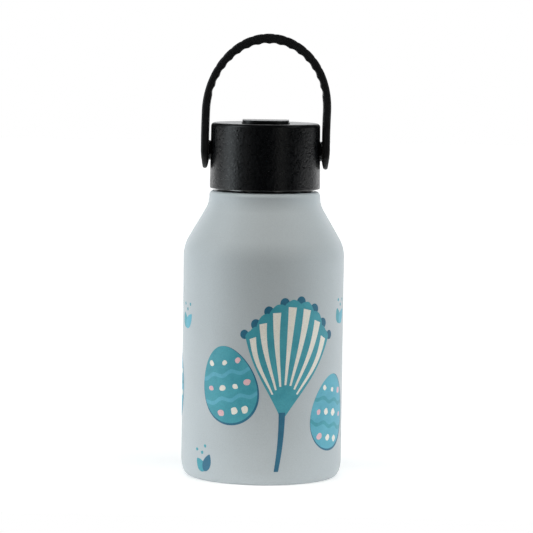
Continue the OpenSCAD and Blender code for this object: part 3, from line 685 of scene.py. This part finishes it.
# ---------------------------------------------------------------- carry loop
def loop_piece():
    spring, a_out, b_out = 165.5, 29.1, loop_hi[2] - 165.5
    a_in, b_in = 25.55, loop_hi[2] - 4.55 - 165.5
    x_in0, x_out0 = 25.62, 29.08
    end_r, hw = 8.2, 7.2
    # stations: (outer point, inner point) from the right end round to the left end
    st = []
    zs = [PIVOT_Z - end_r + end_r * (1 - math.cos(math.pi / 2 * i / 26)) for i in range(27)]
    zs += [PIVOT_Z + (spring - PIVOT_Z) * i / 34 for i in range(1, 35)]
    right = []
    for z in zs:
        f = max(0.0, min(1.0, (z - PIVOT_Z) / (spring - PIVOT_Z)))
        right.append(((x_out0 + (a_out - x_out0) * f, z), (x_in0 + (a_in - x_in0) * f, z)))
    n = 300
    # even steps along the outer arch
    dens = [(a_out * math.cos(math.pi * i / 4000), spring + b_out * math.sin(math.pi * i / 4000)) for i in range(4001)]
    cum = [0.0]
    for p, q in zip(dens[:-1], dens[1:]):
        cum.append(cum[-1] + math.dist(p, q))
    arch, k = [], 0
    for i in range(1, n):
        target = cum[-1] * i / n
        while cum[k] < target:
            k += 1
        t = math.pi * k / 4000
        arch.append(((a_out * math.cos(t), spring + b_out * math.sin(t)), (a_in * math.cos(t), spring + b_in * math.sin(t)), cum[k] - cum[-1] / 2))
    st = [(o, i, None) for o, i in right] + arch + [((-o[0], o[1]), (-i[0], i[1]), None) for o, i in right[::-1]]
    pitch = 5.35
    m = 40
    verts, faces = [], []
    def section(th, w, rc):
        """Rounded rectangle: (across, along width), outer face at +th/2."""
        pts = []
        cs = [(th / 2 - rc, w - rc, 0), (-(th / 2 - rc), w - rc, 90), (-(th / 2 - rc), -(w - rc), 180), (th / 2 - rc, -(w - rc), 270)]
        for cx, cy, a0 in cs:
            for q in range(m // 4):
                a = math.radians(a0 + 90 * q / (m // 4 - 1))
                pts.append((cx + rc * math.cos(a), cy + rc * math.sin(a)))
        # the two broad faces are split so that ribs can fade towards the edges
        out = []
        for i in range(len(pts)):
            p, q = pts[i], pts[(i + 1) % len(pts)]
            out.append(p)
            if i in (2 * (m // 4) - 1, m - 1):
                for f in (0.12, 0.3, 0.5, 0.7, 0.88):
                    out.append((p[0] + (q[0] - p[0]) * f, p[1] + (q[1] - p[1]) * f))
        return out
    cnt = None
    for o, i, s in st:
        ov, iv = Vector(o), Vector(i)
        c = (ov + iv) / 2
        tdir = (ov - iv)
        th = tdir.length
        tdir.normalize()
        z = c.y
        if s is None and z < PIVOT_Z + 12:
            d = PIVOT_Z - z
            lobe = math.sqrt(max(0.0, end_r ** 2 - d ** 2)) if abs(d) < end_r else 0.0
            up = smooth01((z - PIVOT_Z) / 9.0)
            w = max(lobe, hw if z > PIVOT_Z else 0.0)
            w = lobe * (1 - up) + max(lobe, hw) * up if z > PIVOT_Z else lobe
            if z > PIVOT_Z:
                w = hw + (end_r - hw) * (1 - smooth01((z - PIVOT_Z) / 7.5))
            # the inner rim of the end is bevelled
            edge = max(0.0, min(1.0, (d - 4.6) / 3.5))
            shift = 0.8 * edge ** 1.5
            taper = 0.95 * (max(0.0, d) / end_r) ** 1.3      # the outer face draws in towards the end
            th2 = th - shift - taper
            cc = c + tdir * ((shift - taper) / 2)
            e = end_r - d
            if e < 0.9:                           # the rim of the end is rounded too
                th2 -= 2 * (0.9 - math.sqrt(max(0.0, 0.81 - (0.9 - e) ** 2))) * 0.85
        else:
            w, th2, cc = hw, th, c
        w = max(w, 0.35)
        rc = min(1.15, th2 / 2 - 0.02, w - 0.02)
        sec = section(th2, w, rc)
        cnt = len(sec)
        for a, b in sec:
            aa = a
            if s is not None:
                fade_in = 1 - smooth01((abs(s) - 41) / 3.0)     # the grip's ends
                fade_out = 1 - smooth01((abs(s) - 32) / 3.0)
                ph = (s / pitch) % 1.0
                notch = math.exp(-((ph - 0.5) / 0.13) ** 2)
                scal = 0.5 - 0.5 * math.cos(2 * math.pi * ph)
                scal = scal ** 0.7
                wide = smooth01((w - abs(b)) / 0.5) * 0.35 + 0.65
                if a > 0:
                    aa = a - 0.17 * notch * fade_out * wide * min(1, a / (th / 2))
                else:
                    aa = a + 0.44 * scal * fade_in * wide * min(1, -a / (th / 2))
            p = cc + tdir * aa
            lean = 1.15 * smooth01((p.y - 152.0) / 44.0)
            verts.append((p.x + lean, b, p.y))
    rows = len(verts) // cnt
    for i in range(rows - 1):
        a, b = i * cnt, (i + 1) * cnt
        for j in range(cnt):
            faces.append((a + j, a + (j + 1) % cnt, b + (j + 1) % cnt, b + j))
    faces.append(tuple(range(cnt)))
    faces.append(tuple(range((rows - 1) * cnt, rows * cnt))[::-1])
    me = mesh_from("carry_loop_grip", verts, faces); tidy(me, 1e-6)
    ob = link("carry_loop_grip", me, (m_loop,), sharp=None)
    for s in (1, -1):
        boolean(ob, xcyl(2.7, min(s * 20, s * 40), max(s * 20, s * 40), 0, PIVOT_Z, 64))
        boolean(ob, xcyl(4.0, min(s * 28, s * 40), max(s * 28, s * 40), 0, PIVOT_Z, 96))
    ob.name = "carry_loop_grip"
    ob.data.shade_smooth(); ob.data.set_sharp_from_angle(angle=math.radians(36))
    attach(ob, "loop"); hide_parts("carry_loop")
loop_piece()

def rivets():
    me_all = None
    bm = bmesh.new()
    for s in (1, -1):
        prof = rounded([(0, 23.5), (1.4, 23.5), (1.8, 23.9), (1.8, 25.51), (2.62, 25.51), (2.62, 28.1), (3.85, 28.1), (3.85, 29.0), (2.2, 29.0), (1.9, 28.78), (0, 28.7)],
                       [0, 0.1, 0.1, 0, 0.05, 0, 0.1, 0.42, 0.3, 0.2, 0], 6)
        me = lathe_mesh("r", prof, 72)
        bmt = bmesh.new(); bmt.from_mesh(me)
        bmesh.ops.rotate(bmt, verts=bmt.verts, matrix=Matrix.Rotation(math.radians(90), 3, "Y"))
        if s < 0:
            bmesh.ops.rotate(bmt, verts=bmt.verts, matrix=Matrix.Rotation(math.pi, 3, "Z"))
        bmesh.ops.translate(bmt, verts=bmt.verts, vec=(0, 0, PIVOT_Z * MM))
        bmt.to_mesh(me); bmt.free()
        bm.from_mesh(me)
        bpy.data.meshes.remove(me)
    me = bpy.data.meshes.new("loop_rivet_heads"); bm.to_mesh(me); bm.free()
    ob = link("loop_rivet_heads", me, (m_rivet,), sharp=35)
    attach(ob, "lid"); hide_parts("loop_rivets")
rivets()

# ---------------------------------------------------------------- print on the body
# A generic motif of spotted eggs, a fan leaf and small leaves, as thin inked films on the coat.
AX_H = 205.0
def wrap_film(name, shape, top, mat, hole=()):
    """shape: closed outline [(s, z)...] in mm, s along the girth from the front. Makes a closed thin film."""
    def inside(poly, x, y):
        c = False
        n = len(poly)
        for i in range(n):
            x1, y1 = poly[i]; x2, y2 = poly[(i + 1) % n]
            if (y1 > y) != (y2 > y) and x < (x2 - x1) * (y - y1) / (y2 - y1) + x1:
                c = not c
        return c
    def near(poly, x, y, d):
        n = len(poly)
        for i in range(n):
            ax, ay = poly[i]; bx, by = poly[(i + 1) % n]
            dx, dy = bx - ax, by - ay
            L = dx * dx + dy * dy
            t = 0 if L == 0 else max(0, min(1, ((x - ax) * dx + (y - ay) * dy) / L))
            if math.hypot(x - ax - t * dx, y - ay - t * dy) < d:
                return True
        return False
    # outline with even, short steps
    pts = []
    n = len(shape)
    for i in range(n):
        a, b = shape[i], shape[(i + 1) % n]
        k = max(1, int(math.ceil(math.dist(a, b) / 0.7)))
        pts += [(a[0] + (b[0] - a[0]) * j / k, a[1] + (b[1] - a[1]) * j / k) for j in range(k)]
    nb = len(pts)
    x0, x1 = min(p[0] for p in pts), max(p[0] for p in pts)
    y0, y1 = min(p[1] for p in pts), max(p[1] for p in pts)
    grid = []
    x = x0 + 0.6
    while x < x1:
        y = y0 + 0.6
        while y < y1:
            if inside(pts, x, y) and not near(pts, x, y, 0.4):
                grid.append((x, y))
            y += 1.6
        x += 0.9
    loops = [list(range(nb))]
    res = delaunay_2d_cdt([Vector(p) for p in pts + grid], [], loops, 1, 1e-5)
    V, F = res[0], res[2]
    k = len(V)
    r0, r1 = BR - SKIN - 0.03, BR - SKIN + 0.030 + top
    verts = []
    for r in (r0, r1):
        for v in V:
            a = v.x / BR - math.pi / 2
            verts.append((r * math.cos(a), r * math.sin(a), v.y))
    faces = []
    count = {}
    for f in F:
        f = list(f)
        faces.append(tuple(k + i for i in f))
        faces.append(tuple(f[::-1]))
        for i in range(len(f)):
            e = (f[i], f[(i + 1) % len(f)])
            count[e] = count.get(e, 0) + 1
    for (a, b) in list(count):
        if (b, a) not in count:
            faces.append((a, b, k + b, k + a))
    me = mesh_from(name, verts, faces)
    tidy(me, 1e-7)
    ob = link(name, me, (mat,), sharp=30)
    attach(ob, "bottle")
    return ob

def oval(cx, cz, a, b, n=72, egg=0.0, rot=0.0):
    out = []
    for i in range(n):
        t = 2 * math.pi * i / n
        x, y = a * math.cos(t) * (1 - egg * math.sin(t)), b * math.sin(t)
        out.append((cx + x * math.cos(rot) - y * math.sin(rot), cz + x * math.sin(rot) + y * math.cos(rot)))
    return out

def blob(cx, cz, r, seed, n=36, amp=0.12, sx=1.0):
    rnd = random.Random(seed)
    ph = [rnd.uniform(0, 6.28) for _ in range(3)]
    return [(cx + sx * r * (1 + amp * math.sin(2 * t + ph[0]) + amp * 0.6 * math.sin(3 * t + ph[1])) * math.cos(t),
             cz + r * (1 + amp * math.sin(2 * t + ph[2])) * math.sin(t)) for t in (2 * math.pi * i / n for i in range(n))]

def clip(a, b):
    """Intersection of polygon a with convex polygon b (both anticlockwise)."""
    out = list(a)
    n = len(b)
    for i in range(n):
        p, q = b[i], b[(i + 1) % n]
        side = lambda v: (q[0] - p[0]) * (v[1] - p[1]) - (q[1] - p[1]) * (v[0] - p[0])
        src, out = out, []
        for j in range(len(src)):
            u, w = src[j - 1], src[j]
            su, sw = side(u), side(w)
            if (su >= 0) != (sw >= 0):
                t = su / (su - sw)
                out.append((u[0] + (w[0] - u[0]) * t, u[1] + (w[1] - u[1]) * t))
            if sw >= 0:
                out.append(w)
        if not out:
            return []
    return out

def px(x, y):
    """A point named by where it shows from the front: x in mm from the axis, z height in mm."""
    return (BR * math.asin(max(-0.995, min(0.995, x / BR))), y)

m_teal = ink("ink_teal", srgb(64, 148, 163), srgb(76, 161, 175))
m_deep = ink("ink_deep_teal", srgb(38, 98, 126), srgb(50, 112, 138))
m_light = ink("ink_light_teal", srgb(82, 163, 184), srgb(97, 175, 194))
m_cream = ink("ink_cream", srgb(236, 232, 222), srgb(230, 226, 214))
m_pink = ink("ink_pink", srgb(230, 190, 194), srgb(220, 178, 184))

L0, L1, L2, L3 = 0.0, 0.014, 0.028, 0.042      # heights of the ink layers over the first

def turn(cx, cz, rot, x, y):
    return (cx + x * math.cos(rot) - y * math.sin(rot), cz + x * math.sin(rot) + y * math.cos(rot))

def egg(tag, cx, cz, a, b, rot, rim, base, band, dots, seed, spots=7):
    """A painted egg: a darker rim low on one side, two wavy bands and spots in three rows."""
    wrap_film("egg_%s_rim" % tag, oval(cx, cz, a, b, egg=0.16, rot=rot), L0, rim)
    main = oval(cx - 0.35, cz + 0.45, a - 0.45, b - 0.5, egg=0.16, rot=rot)
    wrap_film("egg_%s_shell" % tag, main, L1, base)
    rnd = random.Random(seed)
    for k, zf in enumerate((-0.33, 0.30)):
        m = 48
        up, dn = [], []
        for i in range(m + 1):
            u = -a * 1.2 + 2.4 * a * i / m
            w = b * zf + 0.75 * math.sin(i / m * math.pi * 7 + k * 1.4)
            up.append((u, w + b * 0.05)); dn.append((u, w - b * 0.05))
        c = clip([turn(cx, cz, rot, x, y) for x, y in dn + up[::-1]], main)
        if len(c) > 4:
            wrap_film("egg_%s_band_%d" % (tag, k + 1), c, L2, band)
    done = []
    rows = ((-0.66, 3), (-0.02, 4), (0.60, 3))
    for v, n in rows:
        for i in range(n):
            u = (i - (n - 1) / 2) * a * 0.46 + rnd.uniform(-0.05, 0.05) * a
            vv = v * b + rnd.uniform(-0.03, 0.03) * b
            if (u / (a * 0.80)) ** 2 + (vv / (b * 0.88)) ** 2 > 1:
                continue
            r = rnd.uniform(0.085, 0.125) * a
            done.append(r)
            x, y = turn(cx, cz, rot, u, vv)
            wrap_film("egg_%s_spot_%d" % (tag, len(done)), blob(x, y, r, seed * 31 + len(done)), L2, dots[len(done) % len(dots)])

def leaf_shape(bx, bz, length, width, ang, bend=0.0, n=20, full=0.8):
    """A round-bellied leaf from its base, leaning at ang from +z, as a closed outline."""
    left, right = [], []
    for i in range(n + 1):
        f = i / n
        w = width / 2 * math.sin(math.pi * f ** full) ** 0.75
        a = ang + bend * f
        cx = bx + length * f * math.sin(ang + bend * f * 0.5)
        cz = bz + length * f * math.cos(ang + bend * f * 0.5)
        left.append((cx - w * math.cos(a), cz + w * math.sin(a)))
        right.append((cx + w * math.cos(a), cz - w * math.sin(a)))
    out = right + left[::-1]
    res = [out[0]]
    for p in out[1:]:
        if math.dist(p, res[-1]) > 0.04:
            res.append(p)
    if math.dist(res[0], res[-1]) < 0.04:
        res.pop()
    return res

def fan_leaf(tag, hx, hz, tilt, spread, radii, stem):
    """A pleated palm fan: scalloped teal sheet, pale pleats, dark beads on its rim and a stem."""
    n = len(radii)
    da = 2 * spread / n
    ang = lambda i: math.radians(tilt - spread + da * i)
    P = lambda a, r: (hx + r * math.sin(a), hz + r * math.cos(a))
    # beads where two pleats meet
    for i in range(n + 1):
        r = (radii[max(0, i - 1)] + radii[min(n - 1, i)]) / 2 - 0.6
        x, z = P(ang(i), r)
        w = 2.2 if 0 < i < n else 1.9
        wrap_film("fan_%s_bead_%d" % (tag, i + 1), [(x + w * math.cos(t), z + w * 1.1 * math.sin(t)) for t in (2 * math.pi * k / 30 for k in range(30))], L0, m_deep)
    # the sheet
    pts = []
    for i in range(n):
        a0, a1 = ang(i), ang(i + 1)
        r = radii[i]
        for k in range(11):
            f = k / 10
            a = a0 + (a1 - a0) * f
            rr = r - 1.6 + 1.6 * math.sin(math.pi * f) ** 0.8 + (radii[min(n - 1, i + 1)] - r) * max(0, f - 0.5) + (radii[max(0, i - 1)] - r) * max(0, 0.5 - f)
            if k or i == 0:
                pts.append(P(a, rr))
    neck = 5.0
    sheet = [P(ang(0), neck)] + pts + [P(ang(n), neck)] + [P(ang(n - i), neck - 1.2) for i in range(1, n)][:0]
    # the sides curve in towards the hub
    def side(a, r_end, k):
        return [P(a + math.radians(k) * math.sin(math.pi * f), neck * 0.6 + (r_end - neck * 0.6) * f) for f in (i / 14 for i in range(15))]
    lft = side(ang(0), radii[0] - 1.6, -3.3)
    rgt = side(ang(n), radii[-1] - 1.6, 3.3)
    sheet = lft + pts[1:-1] + rgt[::-1]
    wrap_film("fan_%s_sheet" % tag, sheet[::-1], L1, m_teal)
    # pale pleats
    for i in range(n):
        am = (ang(i) + ang(i + 1)) / 2
        half = math.radians(da) * 0.24
        r0, r1 = radii[i] * 0.30, radii[i] - 3.4
        low, high = [], []
        m = 12
        for k in range(m + 1):
            f = k / m
            r = r0 + (r1 - r0) * f
            bow = math.radians((i - (n - 1) / 2) * 1.1) * math.sin(math.pi * f)
            h = half * (0.80 + 0.30 * f)
            low.append(P(am + bow - h, r)); high.append(P(am + bow + h, r))
        wrap_film("fan_%s_pleat_%d" % (tag, i + 1), low + high[::-1], L2, m_cream)
    # the stem
    s1, s2 = [], []
    for i in range(19):
        f = i / 18
        x = hx + stem[0] * f * f
        z = hz + 4.0 - (stem[1] + 4.0) * f
        w = 1.5 - 0.5 * f
        s1.append((x - w, z)); s2.append((x + w, z))
    wrap_film("fan_%s_stem" % tag, s1 + s2[::-1], L3, m_deep)

def sprig(tag, bx, bz, size, ang, mat_a, mat_b):
    """Two round leaves from one base point with three small berries."""
    for k, (da, f) in enumerate(((-30, 0.80), (34, 0.92))):
        a = math.radians(ang + da)
        wrap_film("sprig_%s_leaf_%d" % (tag, k + 1), leaf_shape(bx, bz, size * f, size * 0.52, a), (L0, L1)[k], (mat_a, mat_b)[k])
    for k, (da, f) in enumerate(((2, 0.92), (-16, 1.16), (14, 1.24))):
        a = math.radians(ang + da)
        wrap_film("sprig_%s_berry_%d" % (tag, k + 1), blob(bx + size * f * math.sin(a), bz + size * f * math.cos(a), size * 0.085, k + 40, n=20), L0, mat_a)

def build_print():
    s = lambda x: px(x, 0)[0]
    # front left: a spotted egg; centre right: the fan leaf; far right: a second egg round the side
    egg("front", s(-15.0), 44.5, 13.4, 17.8, math.radians(12), m_deep, m_teal, m_light, (m_cream, m_pink, m_cream), 5)
    fan_leaf("front", s(9.0), 29.0, 5.0, 29.0, [43, 48, 52, 54.5, 54.5, 51, 46], (-2.4, 22.5))
    egg("right", s(30.8), 31.5, 12.8, 17.4, math.radians(-10), m_deep, m_light, m_teal, (m_cream, m_pink, m_cream), 11)
    sprig("a", s(-34.4), 68.0, 9.4, 8, m_teal, m_light)
    sprig("b", s(-25.4), 4.9, 9.2, -12, m_teal, m_deep)
    sprig("c", s(34.2), 71.0, 9.2, 10, m_teal, m_light)
    # the back: the motif goes round
    half = BR * math.pi
    egg("back_a", -half * 0.52, 40.0, 11.6, 15.6, math.radians(-14), m_deep, m_light, m_teal, (m_pink, m_cream, m_cream), 21)
    fan_leaf("back", -half * 0.80, 32.0, -4.0, 34.0, [36, 41, 44, 45, 43.5, 40, 35], (2.4, 24))
    egg("back_b", half * 0.90, 36.0, 13.0, 17.4, math.radians(10), m_deep, m_teal, m_light, (m_cream, m_pink, m_cream), 33)
    sprig("d", half * 0.93, 70.0, 8.2, -10, m_teal, m_light)
    sprig("e", half * 0.68, 6.0, 8.0, 14, m_teal, m_deep)
    sprig("f", -half * 0.62, 66.0, 8.0, 6, m_teal, m_light)
    sprig("g", -half * 0.62, 6.0, 8.0, -8, m_teal, m_deep)
build_print()

# ---------------------------------------------------------------- floor, camera, light
def floor():
    """A plain white sheet that starts just in front of the object and runs far behind it."""
    n = 8
    x0, x1, y0, y1 = -1.6, 1.6, -0.11, 3.6
    verts = [(x0 + (x1 - x0) * i / n, y0 + (y1 - y0) * j / n, 0.0) for j in range(n + 1) for i in range(n + 1)]
    faces = [(j * (n + 1) + i, j * (n + 1) + i + 1, (j + 1) * (n + 1) + i + 1, (j + 1) * (n + 1) + i) for j in range(n) for i in range(n)]
    me = bpy.data.meshes.new("floor"); me.from_pydata(verts, [], faces)
    ob = bpy.data.objects.new("floor", me)
    bpy.context.scene.collection.objects.link(ob)
    M = Mat("floor_paint")
    M.color(M.mix(M.maprange(M.noise(3, 2), 0, 1, 0.3, 0.7), (0.88, 0.88, 0.88), (0.86, 0.86, 0.86)))
    M.set(Roughness=0.9, Specular_IOR_Level=0.05, Emission_Color=(1, 1, 1, 1))
    # the far part gets less of the lamps, so it glows more
    far = M.node("ShaderNodeVectorMath", {0: M.obj}, operation="LENGTH").outputs["Value"]
    M.nt.links.new(M.maprange(far, 0.33, 0.88, 0.10, 0.75), M.b.inputs["Emission Strength"])
    me.materials.append(M.m)
floor()

cam_d = bpy.data.cameras.new("camera")
cam = bpy.data.objects.new("camera", cam_d)
bpy.context.scene.collection.objects.link(cam)
cam_d.sensor_width = 36.0
cam_d.lens = 191.15
cam_d.clip_start, cam_d.clip_end = 0.05, 20
PITCH, ROLL = math.radians(-4.915), math.radians(0.81)
eye = Vector((0.00125, -1.28, 0.205))
R = Matrix.Rotation(math.pi / 2 + PITCH, 4, "X") @ Matrix.Rotation(ROLL, 4, "Z")
cam.matrix_world = Matrix.Translation(eye) @ R
bpy.context.scene.camera = cam
bpy.context.scene.view_settings.view_transform = "Standard"

# white all round to the eye; as light, dark in front and bright behind, as in a white studio with black flags
world = bpy.data.worlds.new("studio")
bpy.context.scene.world = world
world.use_nodes = True
nt = world.node_tree
nt.nodes.clear()
out = nt.nodes.new("ShaderNodeOutputWorld")
seen = nt.nodes.new("ShaderNodeBackground"); seen.inputs["Color"].default_value = (1, 1, 1, 1); seen.inputs["Strength"].default_value = 1.0
lit = nt.nodes.new("ShaderNodeBackground"); lit.inputs["Color"].default_value = (0.97, 0.985, 1.0, 1)
mixw = nt.nodes.new("ShaderNodeMixShader")
lp = nt.nodes.new("ShaderNodeLightPath")
tcw = nt.nodes.new("ShaderNodeTexCoord")
sep = nt.nodes.new("ShaderNodeSeparateXYZ")
nt.links.new(tcw.outputs["Generated"], sep.inputs[0])
my = nt.nodes.new("ShaderNodeMapRange")
my.interpolation_type = "SMOOTHSTEP"
for k, v in (("From Min", 0.45), ("From Max", 0.76), ("To Min", 0.012), ("To Max", 1.40)):
    my.inputs[k].default_value = v
nt.links.new(sep.outputs[1], my.inputs["Value"])
nt.links.new(my.outputs["Result"], lit.inputs["Strength"])
nt.links.new(lp.outputs["Is Camera Ray"], mixw.inputs[0])
nt.links.new(lit.outputs[0], mixw.inputs[1])
nt.links.new(seen.outputs[0], mixw.inputs[2])
nt.links.new(mixw.outputs[0], out.inputs["Surface"])

def softbox(name, at, target, w, h, radiance, color=(1, 1, 1), glossy=True):
    d = bpy.data.lights.new(name, "AREA")
    d.shape = "RECTANGLE"; d.size = w; d.size_y = h; d.color = color
    d.energy = radiance * math.pi * w * h
    o = bpy.data.objects.new(name, d)
    bpy.context.scene.collection.objects.link(o)
    v = Vector(target) - Vector(at)
    o.matrix_world = Matrix.Translation(Vector(at)) @ v.to_track_quat("-Z", "Y").to_matrix().to_4x4()
    o.visible_camera = False
    o.visible_glossy = glossy
    return o
softbox("left_box", (-0.92, -0.20, 0.40), (0, 0, 0.14), 0.50, 1.3, 1.70, (0.88, 0.96, 1.0))
softbox("top_box", (0.0, -0.42, 0.95), (0, 0, 0.14), 0.9, 0.55, 2.55, (1.0, 0.93, 0.85), False)
softbox("front_fill", (0, -1.25, 0.45), (0, 0, 0.10), 0.4, 0.4, 2.6, (1.0, 0.985, 0.94), False)
softbox("right_fill", (0.40, -0.22, 0.42), (0, 0, 0.14), 0.3, 0.3, 2.35, (0.88, 0.96, 1.0), False)
softbox("left_fill", (-0.6, -0.35, 0.16), (0, 0, 0.14), 0.3, 0.4, 1.3, (0.88, 0.96, 1.0), False)
softbox("side_left", (-0.7, 0.0, 0.30), (0, 0, 0.14), 0.4, 0.6, 1.9, (0.88, 0.96, 1.0), False)
softbox("side_right", (0.7, 0.0, 0.30), (0, 0, 0.14), 0.4, 0.6, 2.3, (0.88, 0.96, 1.0), False)
# two small high panels that draw a thin light line along the lid's rounded edge
softbox("left_high", (-0.72, -0.22, 0.86), (0, 0, 0.15), 0.30, 0.22, 2.0, (0.92, 0.97, 1.0))
softbox("right_high", (0.72, -0.22, 0.86), (0, 0, 0.15), 0.30, 0.22, 2.0, (0.92, 0.97, 1.0))
# two dim panels near the camera, for the faint sheens on the lid
softbox("front_right", (0.72, -1.08, 0.25), (0, 0, 0.14), 0.30, 1.2, 0.40, (1.0, 1.0, 0.96))
softbox("front_left", (-0.80, -0.95, 0.25), (0, 0, 0.14), 0.22, 1.2, 0.22, (1.0, 1.0, 0.96))

bpy.context.view_layer.update()
